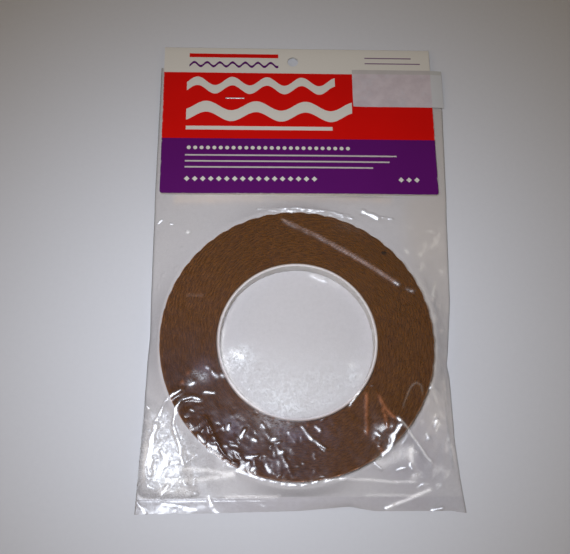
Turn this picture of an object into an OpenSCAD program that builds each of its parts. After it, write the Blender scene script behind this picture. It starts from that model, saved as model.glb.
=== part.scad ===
// Copper foil tape roll, packed in a clear film bag with a folded header card.
// The pack lies on its back: the roll's axis is Z, the table is z = 0 and the card points along +Y.

/* [Roll] */
// Width of the tape over its scallops
tape_w = 7.93; // [7:0.01:9]
// Length of tape on the full roll
tape_len = 33000; // [28000:100:36000]
// Outside diameter of the full roll
roll_d = 134.8; // [131:0.1:135]
// Bore of the core
core_bore = 76.2; // [74:0.1:78]
// Wall of the core
core_wall = 1.5; // [1:0.1:2.5]
// Length of one scallop along the tape
scallop_pitch = 8.6; // [7:0.1:10]
// Depth of a scallop
scallop_depth = 1.4; // [0.8:0.1:2]
// Thickness of the foil with its adhesive coat
foil_t = 0.1; // [0.06:0.01:0.14]
// Angle from the free end of the last turn round to its start
tail_gap = 10; // [4:1:30]

/* [Bag] */
// Flat width of the bag
bag_w = 155; // [153:0.5:160]
// Flat length of the bag
bag_len = 236; // [234:0.5:240]
// Thickness of one film
film_t = 0.2; // [0.15:0.01:0.25]
// How far each side is drawn in beside the roll
waist_draw = 4.2; // [3:0.1:4.5]
// How far each side is drawn in at the card's lower edge
neck_draw = 1; // [0:0.1:2]
// Width of the flat fold along the bag's edges
fold_w = 1; // [0.6:0.1:1.2]
// Depth of the welded band and skirt at the foot
skirt = 7.4; // [6:0.1:9]
// Width of the weld's raised line
weld_w = 1.2; // [0.8:0.1:2]
// Sideways place of the bag's mouth
mouth_shift = 5; // [4:0.1:6]
// Sideways place of the bag's foot
foot_shift = 1.3; // [1:0.1:2]

/* [Header card] */
// Width of the card
card_w = 147; // [140:0.5:150]
// Height of the folded card
card_h = 88; // [84:0.5:92]
// Thickness of the card
card_t = 0.4; // [0.3:0.05:0.5]
// Sideways place of the card's middle
card_shift = 2.8; // [1:0.1:4]
// Distance from the roll to the card's lower edge
card_gap = 12.6; // [11:0.1:15]
// Depth of the bag's mouth inside the card
tuck = 75; // [72:0.5:76]
// Radius of the card's lower corners
corner_r = 1.5; // [1:0.1:4]
// Diameter of the hang hole
hang_d = 6; // [5:0.1:8]
// Distance from the card's fold down to the hang hole
hang_drop = 8.5; // [7.5:0.1:9]

/* [Staple] */
// Length of the staple's crown
crown_w = 10.5; // [9:0.1:13]
// Breadth of the staple's wire
wire_w = 0.7; // [0.5:0.05:1]
// Thickness of the staple's wire
wire_t = 0.5; // [0.4:0.05:0.7]
// Length of each clinched leg
clinch = 4; // [3:0.1:4.5]
// Sideways place of the staple
staple_x = -31.8; // [-40:0.1:-10]
// Height of the staple above the card's lower edge
staple_up = 56.3; // [30:0.1:65]

/* [Sticker] */
// Width of the blank sticker
sticker_w = 49.9; // [40:0.1:52]
// Height of the blank sticker
sticker_h = 22.9; // [18:0.1:26]
// Thickness of the blank sticker
sticker_t = 0.1; // [0.08:0.01:0.2]
// How far the sticker hangs over the card's right edge
overhang = 6.3; // [4:0.1:8]
// Height of the sticker above the card's lower edge
sticker_up = 52; // [45:0.1:58]

/* [Hidden] */
$fn = 96;

// Room between the roll and the films, and round the staple's legs
room = 0.3;
leg_room = 0.05;
// Allowance that carries a cut past a face
past = 1;

// Roll
roll_r = roll_d / 2;
core_r = core_bore / 2 + core_wall;
turn_t = PI * (roll_r * roll_r - core_r * core_r) / tape_len;
liner_t = turn_t - foil_t;
roll_z = film_t + room;
scallops = round(PI * roll_d / scallop_pitch);
scallop_steps = 6;
turn_steps = scallops * scallop_steps;
strip_steps = floor(turn_steps * (360 - tail_gap) / 360);
quarter_turn = floor(turn_steps / 4);

// Levels of the flattened mouth inside the card, from the clinched legs up
back_leaf_z = wire_t;
mouth_z = back_leaf_z + card_t + film_t;
front_leaf_z = mouth_z + film_t;
face_z = front_leaf_z + card_t;

// Places along the pack
card_y = roll_r + card_gap;
fold_r = (face_z - back_leaf_z) / 2;
fold_y = card_y + card_h - fold_r;
mouth_y = card_y + tuck;
foot_y = mouth_y - bag_len;
seal_y = foot_y + skirt;
hang_y = card_y + card_h - hang_drop;
staple_y = card_y + staple_up;

// The film bends across this line below the card, where a slit parts the two moving bodies
bend_y = card_y - 2;
slit = 0.8;
neck_y = bend_y - slit;
rise_y = roll_r + past;
rim_r = roll_r + room + film_t;
film_z = roll_z + tape_w + room;

function polar(r, a, z) = [r * cos(a), r * sin(a), z];
function step_angle(i) = 360 * i / turn_steps;
function turn_r(i) = roll_r - 2 * turn_t + turn_t * i / turn_steps;
function wave(i) = scallop_depth / 2 * (1 + cos(360 * i / scallop_steps));

// Four corners of the strip at one step: inner foot, outer foot, outer top, inner top
function strip_ring(i, lift, thick) = let (
    r = turn_r(i) + lift,
    a = step_angle(i),
    low = roll_z + wave(i),
    high = low + tape_w - scallop_depth
) [polar(r, a, low), polar(r + thick, a, low), polar(r + thick, a, high), polar(r, a, high)];

// Least distance between parts of the last turn that aren't neighbours, less the turn's thickness
function turn_point(i) = polar(turn_r(i) + turn_t / 2, step_angle(i), roll_z + wave(i));
turn_gap = min([for (i = [0 : strip_steps]) for (j = [i + quarter_turn : 1 : strip_steps])
    norm(turn_point(i) - turn_point(j))]) - turn_t;
echo(str("Least gap of the last turn to itself: ", turn_gap, " mm"));

function bag_mid(y) = foot_shift + (mouth_shift - foot_shift) * (y - foot_y) / bag_len;
function bag_edge(side, y, draw) = [bag_mid(y) + side * (bag_w / 2 - draw), y];

// Outline of the bag from its weld to the slit, drawn in by an inset
module bag_outline(inset) {
    polygon([
        bag_edge(-1, seal_y, inset), bag_edge(1, seal_y, inset),
        bag_edge(1, 0, waist_draw + inset), bag_edge(1, neck_y, neck_draw + inset),
        bag_edge(-1, neck_y, neck_draw + inset), bag_edge(-1, 0, waist_draw + inset)
    ]);
}

// Extrudes a drawing of the (Y, Z) plane along X
module along_x(x, length) {
    translate([x, 0, 0]) rotate([90, 0, 90]) linear_extrude(length) children();
}

// One film laid on the table, rising to the card at its neck
module flat_film(inset = 0) {
    rise = mouth_z - film_t;
    intersection() {
        along_x(-bag_w, 2 * bag_w) polygon([
            [seal_y, 0], [rise_y, 0], [neck_y, rise],
            [neck_y, rise + film_t], [rise_y, film_t], [seal_y, film_t]
        ]);
        linear_extrude(film_z) bag_outline(inset);
    }
}

// Space under a film stretched from the bag's edges to the roll's rim, between two heights of the bag
module stretched(from_y, to_y, inset, rim) {
    hull() {
        translate([0, 0, film_z]) cylinder(r = rim, h = film_t);
        intersection() {
            translate([0, 0, film_t]) flat_film(inset);
            translate([-bag_w, from_y, 0]) cube([2 * bag_w, to_y - from_y, film_z]);
        }
    }
}

module tent(inset, rim) {
    stretched(seal_y + inset, 0, inset, rim);
    stretched(0, neck_y - inset, inset, rim);
}

// Strip of tape that winds once round the roll, with its scalloped edges
module scalloped_turn(lift, thick) {
    points = [for (i = [0 : strip_steps]) each strip_ring(i, lift, thick)];
    last = 4 * strip_steps;
    sides = [for (i = [0 : strip_steps - 1]) for (k = [0 : 3]) let (
        a = 4 * i + k,
        b = 4 * i + (k + 1) % 4
    ) each [[a, b, b + 4], [a, b + 4, a + 4]]];
    ends = [[0, 2, 1], [0, 3, 2], [last, last + 1, last + 2], [last, last + 2, last + 3]];
    polyhedron(points, concat(sides, ends));
}

// Slots that the staple's legs pierce through the card and the bag's neck
module leg_slots() {
    for (side = [-1, 1])
        translate([staple_x + side * (crown_w - wire_t) / 2, staple_y, mouth_z])
            cube([wire_t + 2 * leg_room, wire_w + 2 * leg_room, 2 * face_z], center = true);
}

module core_ring() {
    color("white") translate([0, 0, roll_z]) difference() {
        cylinder(r = core_r, h = tape_w);
        translate([0, 0, -past]) cylinder(d = core_bore, h = tape_w + 2 * past);
    }
}

// All the turns under the last one: its outline is the spiral that the last turn lies on
module wound_tape() {
    color("saddlebrown") translate([0, 0, roll_z + scallop_depth / 2]) difference() {
        linear_extrude(tape_w - scallop_depth)
            polygon([for (i = [0 : turn_steps]) turn_r(i) * [cos(step_angle(i)), sin(step_angle(i))]]);
        translate([0, 0, -past]) cylinder(r = core_r, h = tape_w + 2 * past);
    }
}

module outer_liner_turn() {
    color("burlywood") scalloped_turn(0, liner_t);
}

module outer_foil_turn() {
    color("peru") scalloped_turn(liner_t, foil_t);
}

module bag_front_film() {
    color("lightblue", 0.3) difference() {
        union() {
            translate([0, 0, film_t]) flat_film();
            tent(fold_w, rim_r);
        }
        translate([0, 0, -film_t]) tent(fold_w + film_t, rim_r - film_t);
    }
}

module bag_back_film() {
    color("lightgrey", 0.3) flat_film();
}

// Both films welded to one sheet at the foot, with the raised line of the weld
module bag_foot_seal() {
    weld_y = seal_y - weld_w;
    color("gainsboro", 0.3) {
        linear_extrude(2 * film_t) polygon([
            bag_edge(-1, foot_y, 0), bag_edge(1, foot_y, 0), bag_edge(1, seal_y, 0), bag_edge(-1, seal_y, 0)
        ]);
        linear_extrude(3 * film_t) polygon([
            bag_edge(-1, weld_y - weld_w, fold_w), bag_edge(1, weld_y - weld_w, fold_w),
            bag_edge(1, weld_y, fold_w), bag_edge(-1, weld_y, fold_w)
        ]);
    }
}

module bag_neck() {
    low_y = bend_y + slit;
    color("azure", 0.3) difference() {
        translate([0, 0, mouth_z - film_t]) linear_extrude(2 * film_t) polygon([
            bag_edge(-1, low_y, neck_draw), bag_edge(1, low_y, neck_draw),
            bag_edge(1, mouth_y, 0), bag_edge(-1, mouth_y, 0)
        ]);
        leg_slots();
    }
}

// Section of the folded card across its fold
module card_section() {
    leaf = fold_y - card_y;
    translate([card_y, back_leaf_z]) square([leaf, card_t]);
    translate([card_y, front_leaf_z]) square([leaf, card_t]);
    translate([fold_y, mouth_z]) intersection() {
        difference() {
            circle(r = fold_r);
            circle(r = fold_r - card_t);
        }
        translate([0, -fold_r]) square(2 * fold_r);
    }
}

// Front of the card, with its two round lower corners
module card_outline() {
    translate([card_shift - card_w / 2, card_y]) {
        translate([0, corner_r]) square([card_w, card_h]);
        translate([corner_r, 0]) square([card_w - 2 * corner_r, card_h]);
        for (x = [corner_r, card_w - corner_r]) translate([x, corner_r]) circle(r = corner_r);
    }
}

module header_card() {
    color("firebrick") difference() {
        intersection() {
            along_x(-card_w, 2 * card_w) card_section();
            linear_extrude(2 * face_z) card_outline();
        }
        translate([0, hang_y, -past]) cylinder(d = hang_d, h = face_z + 2 * past);
        leg_slots();
    }
}

module card_staple() {
    leg_x = (crown_w - wire_t) / 2;
    color("silver") translate([staple_x, staple_y, 0]) {
        translate([-crown_w / 2, -wire_w / 2, face_z]) cube([crown_w, wire_w, wire_t]);
        for (side = [-1, 1]) {
            translate([side * leg_x - wire_t / 2, -wire_w / 2, 0]) cube([wire_t, wire_w, face_z]);
            translate([side * (crown_w - clinch) / 2 - clinch / 2, -wire_w / 2, 0])
                cube([clinch, wire_w, wire_t]);
        }
    }
}

module blank_sticker() {
    right = card_shift + card_w / 2 + overhang;
    color("whitesmoke") translate([right - sticker_w, card_y + sticker_up, face_z])
        cube([sticker_w, sticker_h, sticker_t]);
}

core_ring();
wound_tape();
outer_liner_turn();
outer_foil_turn();
bag_front_film();
bag_back_film();
bag_foot_seal();
bag_neck();
header_card();
card_staple();
blank_sticker();
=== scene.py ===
import math
from functools import cached_property

import bpy
import numpy as np
from mathutils import Matrix, Vector
from mathutils.geometry import delaunay_2d_cdt


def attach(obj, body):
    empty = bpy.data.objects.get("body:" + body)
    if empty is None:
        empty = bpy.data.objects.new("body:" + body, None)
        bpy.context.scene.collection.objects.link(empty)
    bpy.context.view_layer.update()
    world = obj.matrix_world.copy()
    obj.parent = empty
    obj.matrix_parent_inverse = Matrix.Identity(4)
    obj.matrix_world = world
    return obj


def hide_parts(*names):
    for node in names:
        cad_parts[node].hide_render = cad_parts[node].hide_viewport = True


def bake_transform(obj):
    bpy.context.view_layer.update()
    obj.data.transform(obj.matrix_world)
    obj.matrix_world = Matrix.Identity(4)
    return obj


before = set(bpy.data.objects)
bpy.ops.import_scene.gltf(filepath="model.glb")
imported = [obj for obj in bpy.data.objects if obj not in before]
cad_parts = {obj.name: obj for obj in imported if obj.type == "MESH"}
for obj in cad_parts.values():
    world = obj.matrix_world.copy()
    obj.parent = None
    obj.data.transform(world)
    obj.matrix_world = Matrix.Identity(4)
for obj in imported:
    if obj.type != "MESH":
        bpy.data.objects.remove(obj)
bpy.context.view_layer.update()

# A roll of scallop-edged copper foil tape, packed in a clear film bag with a folded header card.
# Lengths are millimetres, and MM turns them into the frame's metres. The pack lies on its back:
# the roll's axis is Z, the table is z = 0 and the card points along +Y.
MM = 0.001
FULL_TURN = 2 * math.pi

# Roll
TAPE_W = 7.93
TAPE_LEN = 33000
ROLL_R = 67.4
ROLL_Z = 0.5
ROLL_TOP = ROLL_Z + TAPE_W
BORE_R = 38.1
CORE_R = 39.6
CORE_GAP = 0.03
CORE_STEPS = 192
OUTER_LIP = 0.8
INNER_LIP = 0.25
LIP_STEPS = 5
FOIL_T = 0.1
TURN_T = math.pi * (ROLL_R ** 2 - CORE_R ** 2) / TAPE_LEN
TURN_GAP = 0.012
LAST_TURN_R = ROLL_R - 2 * TURN_T
TAIL_GAP = math.radians(10)
SCALLOPS = 49
SCALLOP_DEPTH = 1.4
SCALLOP_STEPS = 6
CHIP_PLACE = (44.6, 45.4)

# Bag
FOOT_Y = -81
SEAL_Y = -73.6
NECK_Y = 79
MOUTH_Y = 155
MOUTH_Z = 1.1
MOUTH_GAP = 0.1
MOUTH_LIFT = 0.75
MOUTH_X = 4
MOUTH_HALF = 72

# Film: levels, bends, and how far it puffs out past the rim, stands up or sags
FILM_TOP = 8.72
FRONT_LOW = 0.42
BACK_LOW = 0.08
BACK_UNDER_ROLL = 0.36
SKIRT_FRONT = 0.3
SKIRT_BACK = 0.12
FILMS_APART = 0.14
SIDE_BEND = 0.9
CORNER_BEND = 2.5
RIM_R = 68.1
FAR_PUFF = 1.5
FOOT_PUFF = 2.6
CORE_SAG = 0.7
RIM_BILLOW = 0.5
RIM_CREASES = (-42, -50)
SLACK_PLACE = (-66, -58)
SLACK_RISE = 7.0
TENT_PLACE = (46, -40)
TENT_RISE = 2.2
TENT_REACH = 8
WELD_RISE = 0.22
WELD_W = 0.3
SKIRT_RISE = 0.7
CURL_RISE = 2.4
FACET_SPAN = (-88, 90)

# Header
CARD_LEFT = -70.7
CARD_RIGHT = 76.3
CARD_Y = 80
CARD_TOP = 168
CARD_T = 0.4
BACK_LEAF_Z = 0.5
FACE_Z = 1.7
CORNER_R = 1.5
CARD_STEP = 2.5
SPRING_RISE = 0.9
SPRING_SWAY = 0.4
SPRING_X = 10
SPRING_LEN = 26
HANG_Y = 159.5
HANG_R = 3
HOLE_BLOCK = 5
LEAF = CARD_TOP - CARD_Y - (FACE_Z - BACK_LEAF_Z) / 2
FOLD_R = (FACE_Z - BACK_LEAF_Z - CARD_T) / 2
SHEET_LEN = 2 * LEAF + math.pi * FOLD_R
RED_TOP = 152.2
VIOLET_TOP = 112.1
PRINT_LEFT = -58
INK_SOFT = 0.12

# Staple and sticker
STAPLE_X = -31.8
STAPLE_Y = 136.3
CROWN_W = 10.5
WIRE_W = 0.7
WIRE_T = 0.5
WIRE_BEND = 0.3
WIRE_ROUND = 0.12
CLINCH = 4
TOE_LIFT = 0.05
CHISEL_SHARE = 0.55
STICKER = (32.7, 82.6, 132, 154.9)
STICKER_GRID = (61, 29)
STICKER_T = 0.1
STICKER_Z = (0.05, 0.03)
STICKER_WAVE = 0.06
STICKER_HANG = 0.012
STICKER_CURL = 0.35
CURL_REACH = 6

# Stage
KEY_PLACE = (-72, -62, 440)
LIT_PLACE = (-17, 3, 0)
WARM_LIGHT = (1.0, 0.74, 0.46)
ROOM_LIGHT = (1.0, 0.84, 0.56)
ROOM_LEVEL = 0.11
BACKDROP = (0.40, 0.40, 0.41)
FLOOR_HALF = 3000
FLOOR_Z = -0.05
EYE_PLACE = (-22.9, -93.5, 403.8)
EYE_TURNS = ((-0.57, "Z"), (-2.29, "Y"), (17.65, "X"))
LENS = 52.45
SENSOR_W = 36
VIEW_MIDDLE = (-3.5, 52)
VIEW_HALF = (142, 152)
VIEW_WIDENS = 0.104

# Lamps: name, place, the place that it lights, size, share of full light there, colour, spread in degrees
LAMPS = (
    ("key", KEY_PLACE, LIT_PLACE, 80, 1.02, (0.880, 0.945, 1.02), 66),
    ("left_fill", (-950, 50, 550), (0, 0, 0), 600, 0.045, WARM_LIGHT, 180),
    ("right_fill", (950, -150, 550), (0, 0, 0), 600, 0.035, WARM_LIGHT, 180),
)

# Film: random seeds, the steps that folds and glints are cut into, how far they stray, and random ranges
GLINT_SEED = 4
WORN_SEED = 6
FACET_SCATTER = 0.45
FOLD_STEP = 2.4
FOLD_SHIFT = 0.35
FOLD_WANDER = 0.22
FOLD_RISE = (0.6, 1.15)
GLINT_STEP = 5
GLINT_EASE = 0.15
GLINT_STRAY = 0.03
GLINT_LIFT = 0.6
GLINT_BREADTH = (0.7, 1.15)
GLINT_LIGHT = (0.35, 1)
CREASE_HALF = (0.25, 0.5)
CREASE_LEN = 3.2
STROKE_LEAST = 1.2
STROKE_BOW = 0.6
WORN_LEN = 7
WORN_W = (0.4, 1.0)
WORN_SHARE = (0.2, 1)

# Grid of the film: where each part starts and its number of steps, along the pack and across it, then the
# extra lines at its sides, and the steps that its edges are rounded in
FILM_ROWS = ((FOOT_Y, 16), (SEAL_Y, 120), (-20, 95), (62, 48), (81, 21))
FILM_COLUMNS = ((-0.982, 139), (-0.22, 157))
FILM_RIM = (0, 0.0016, 0.004, 0.0075, 0.012)
EDGE_STEPS = 800
EDGE_ROUND = 12

# Two creases that are folds, with painted shade along them
LEFT_CREASE = ((-45, -36), (-35.7, -54.2), (-27, -61))
MIDDLE_CREASE = ((-18.5, -40), (-7.7, -55.2), (-2.6, -66))

# Folds of the front film: height, width, how milky they are, and the crest's line
FOLDS = (
    (0.5, 1.3, 0.3, (-8, 63.6), (13, 53.1), (30, 43.4), (52, 28.2)),
    (0.3, 1.6, 0.3, (-32, -4), (-25, -8.5), (-19, -11.5)),
    (0.4, 0.8, 0, *LEFT_CREASE),
    (0.12, 0.7, 0, *MIDDLE_CREASE),
    (0.6, 1.1, 0.6, (-54, -23.6), (-61, -27), (-65.4, -34.5), (-69, -43)),
    (0.6, 1.1, 0.6, (-45, -29), (-55, -27.4), (-58.6, -33), (-59.4, -42), (-54, -54)),
    (0.8, 0.9, 0.6, (46.6, -37.4), (52.3, -44.5), (64.5, -60)),
    (0.5, 0.9, 0.6, (72.6, -13), (73.2, -40), (74.6, -62)),
    (0.15, 1.8, 0.3, (60, 40), (66, 26), (69, 8)),
    (0.5, 0.9, 0.6, (66, 20), (71, 14)),
    (0.5, 0.9, 0.6, (66.5, -2), (72, -4)),
    (0.5, 0.9, 0.6, (64, -22), (70, -26)),
)

# Folds with a painted reflection of the copper below them on their flanks: height, width, share and line
COPPER_FOLDS = (
    (0.25, 0.75, 1, (32.7, -25), (32.4, -36), (32.1, -47)),
    (0.25, 0.75, 1, (37.8, -25.4), (41.3, -34), (46.5, -39.4)),
    (0.25, 0.7, 1, (40, -32.6), (41, -38), (42, -44)),
    (0.25, 0.7, 0.7, (37.4, -50.4), (40.4, -56)),
    (0.1, 1.0, 1, (-53.6, -15.2), (-52.2, -17.4)),
    (0.1, 0.9, 1, (-55.2, -19.4), (-56.4, -22.4)),
    (0.1, 0.5, 0.7, (-20.4, -34.6), (-18.8, -35.4)),
    (0.1, 0.5, 0.7, (-13, -37.7), (-11.2, -38.1)),
    (0.1, 0.5, 0.7, (-5.8, -39.6), (-4.4, -39.8)),
    (0.1, 0.5, 0.7, (3.4, -41.1), (5, -41.4)),
)

# Lines painted white on the film, partly bends whitened by stress, mostly painted highlights: width, share
# and line
WHITENED_AND_HIGHLIGHTS = (
    (0.45, 0.3, (-8, 63.6), (13, 53.1), (30, 43.4), (50, 29.4)),
    (0.4, 0.3, (16, 50.3), (31, 41.4), (50, 29)),
    (0.5, 0.13, (-55.4, 22.7), (-45, 22.7)),
    (0.8, 0.28, (70, 49.3), (71.8, 52.6), (73.6, 57.1)),
    (0.7, 0.2, (72.5, 50.6), (74.5, 55), (76, 61)),
    (0.9, 0.5, (55.7, 48.4), (57.5, 44)),
    (0.6, 0.9, (-56.2, 57.2), (-53.6, 56.8)),
    (0.9, 0.35, (65.2, 41.9), (62.7, 34.9)),
    (0.7, 0.3, (71.2, 31.7), (69.4, 26), (67.9, 20.6)),
    (0.8, 0.35, (70, 13.8), (67.2, 8.7)),
    # A painted glow: light from the red card on the film just below it
    (3.0, 0.17, (-64, 77), (-30, 77.4), (10, 77.6), (52, 77)),
    # Painted light over the core wall's shadow, inside the core's left rim
    (0.8, 0.4, (-35.9, 7.5), (-37.1, -2), (-36.4, -10), (-33.7, -17.5), (-30, -23.9),
     (-26.4, -27.9), (-16, -35.2)),
    (0.5, 0.9, (25.1, -31), (27.1, -28.1), (29.4, -25)),
    (1.2, 0.4, (6.5, 33.8), (9.5, 32), (14.5, 30.2)),
    (2.0, 0.14, (14, 31), (18, 29.5), (22, 27)),
    (1.2, 0.35, (23.8, -13.4), (26.3, -12.5), (29, -12)),
    (1.8, 0.12, (26.6, -17.4), (30, -17.9), (32.3, -20.8)),
    (2.4, 0.3, (-33.9, -5.8), (-29, -6.9), (-25.1, -8.9)),
    (1.2, 0.25, (-35.8, -6), (-35.3, -10), (-33.8, -12.9), (-32.3, -16.8)),
    (0.7, 0.3, (-29.4, -23.6), (-26.5, -26.5)),
    (0.4, 0.12, (-23.2, -10.4), (-19.3, -8.9), (-16.4, -7)),
    (0.42, 0.6, (46.6, -37.4), (52.3, -44.5), (57.5, -51.4), (63.6, -59.5)),
    (0.6, 0.5, (8, -67.6), (21.5, -66.2), (33, -66.5), (47.5, -67.5), (58, -67.5)),
    (0.7, 0.8, (40, -79.5), (52.5, -75), (63.8, -70.3)),
    (0.45, 0.14, (49.4, -34.5), (51.7, -28.7), (54.4, -22.9), (56.9, -21.2), (59.3, -22.5), (59.9, -27.8)),
    (0.7, 0.3, (64, -21), (66, -26), (68, -32)),
    (0.6, 0.7, (65.7, -40.9), (68.8, -37.5)),
    (0.8, 0.6, (67.3, -35.2), (65.1, -38.6)),
    (0.8, 0.6, (68.5, -38.6), (66.8, -42.4), (66.2, -46)),
    (0.8, 0.6, (60.9, -43.8), (62.6, -48.6)),
    (0.9, 0.5, (51.6, -66.2), (55.6, -64.4), (59.4, -63.5)),
    (0.8, 0.3, (70, -48), (72, -55)),
    (0.9, 0.5, (-58, -61.2), (-50, -61), (-40.4, -62.1), (-29.2, -63.5)),
    (1.2, 0.5, (-64, -67.2), (-49.7, -65.9), (-38, -64.9), (-29.2, -63.8)),
    (2.4, 0.4, (35.6, -60.1), (42.4, -57.9), (49.6, -56), (56, -53.7)),
    (2.0, 0.3, (42.5, -55.5), (49.3, -53.2), (55.2, -50.9)),
    (1.1, 0.8, (53.7, -51.4), (53, -55.6), (54.2, -59.8)),
    (1.2, 0.7, (66, -38.5), (67.2, -41.5)),
    (1.4, 0.35, (62.8, -63.5), (66.3, -61.6), (70.6, -60.7)),
    (1.7, 0.4, (-66, -70.3), (-58, -71.2), (-48, -71.8)),
    (1.5, 0.35, (-71.5, -48), (-72.2, -56), (-72.6, -64)),
    (1.5, 0.25, (-67, -65.5), (-60, -68)),
    (0.6, 0.25, (-76, -73.8), (-65, -73.8), (-50.5, -73.2)),
    (0.6, 0.5, (-36, -73.7), (-23, -73.6), (-8, -73.5)),
    (0.6, 0.25, (30.8, -73.3), (45.5, -73.4), (60, -73.9)),
    (0.5, 0.3, (-55.2, -53.4), (-50, -53.9), (-48.6, -54.6), (-49.9, -56.7), (-52, -58.5)),
    (0.9, 0.3, (-43.6, -72.2), (-41, -77), (-37.9, -80.4)),
)

# Creases painted darker, as painted shade along them: width, share and line
DARK_CREASES = (
    (0.45, 0.8, *LEFT_CREASE),
    (0.4, 0.8, *MIDDLE_CREASE),
    (0.4, 0.6, (46.8, -38.4), (42.5, -40), (39, -43.5)),
    (0.4, 0.7, (47.5, -42), (44.5, -51), (38, -57.5)),
    (0.4, 0.4, (50.1, -43.4), (55.9, -51.5), (59.5, -56.7), (62.2, -59.5)),
    (0.5, 0.3, (72.2, -12), (72.8, -38), (74.2, -62)),
    (0.6, 0.12, (70.5, 30), (71.5, 5), (71, -8)),
    (1.4, 0.3, (-65.7, -65.7), (-60.4, -68.9), (-54.3, -70.8)),
    (1.0, 0.15, (-58, -64.6), (-48, -63.6), (-38, -63.8)),
)

# Parts of the film with soft whitened strokes: lowest and highest place, how many, and their greatest share
WORN_AREAS = (
    ((62, -64), (77, 62), 70, 0.35),
    ((-75, -72), (-46, -34), 60, 0.3),
    ((40, -72), (72, -40), 50, 0.4),
    ((-72, 0), (-58, 74), 16, 0.1),
)

# Parts of the film with many short creases: lowest and highest place, how many, least and most bright
CREASED_AREAS = (
    ((61, -62), (73, 40), 26, 0.02, 0.2),
    ((42, -72), (70, -44), 18, 0.02, 0.3),
    ((-56, -71), (-30, -60), 7, 0.02, 0.3),
    ((-70, 20), (-50, 72), 5, 0.02, 0.2),
    ((-75, -72), (-48, -36), 46, 0.05, 0.5),
    ((-52, -66), (14, -36), 46, 0.03, 1.0),
    ((-36, -30), (-22, 4), 10, 0.02, 0.1),
    ((20, -24), (36, -6), 8, 0.02, 0.14),
)

# Hazy places over the tape: middle, reach and amount
HAZY_SPOTS = (
    ((-44.8, -15), 5, 2.2), ((-7, -45), 4, 1.6), ((-0.5, -46.5), 3.5, 1.6), ((11, -44), 4.5, 1.6),
    ((-31.6, -42.6), 4, 1.4), ((-33.4, -49.5), 3, 1.4), ((-22, -56), 3, 2),
)

# Milky places elsewhere: middle, reach and amount
MILKY_SPOTS = (
    ((-27, -8), 5, 1.8), ((-33, -10), 4, 1), ((27, -17), 4, 0.8), ((-10, -34), 10, 0.7), ((30, 68), 9, 0.4),
    ((54, -56), 12, 0.6), ((-45.7, -18), 2.2, 1.1), ((-49.5, -16.6), 1.4, 0.9), ((-51.5, -21.3), 1.6, 0.9),
)

# The bag's edges: x of the left and right edge at places along y, and y of the lower edge at places along x
LEFT_EDGE = (
    (-81, -76.7), (-60, -75.7), (-37, -74.5), (-7, -73.4), (5, -72.7), (22, -73.0), (80, -73.0),
    (155, -72.2),
)
RIGHT_EDGE = (
    (-81, 79.0), (-66, 77.4), (-48, 76.0), (-37, 75.9), (-17, 75.6), (-11, 74.6), (-5, 75.6), (22, 78.6),
    (80, 80.4), (155, 82.4),
)
LOWER_EDGE = (
    (-77, -81.2), (-44, -81.0), (0, -80.2), (13, -79.3), (23, -78.5), (35, -80.6), (72, -80.8), (80, -82.0),
)

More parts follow.
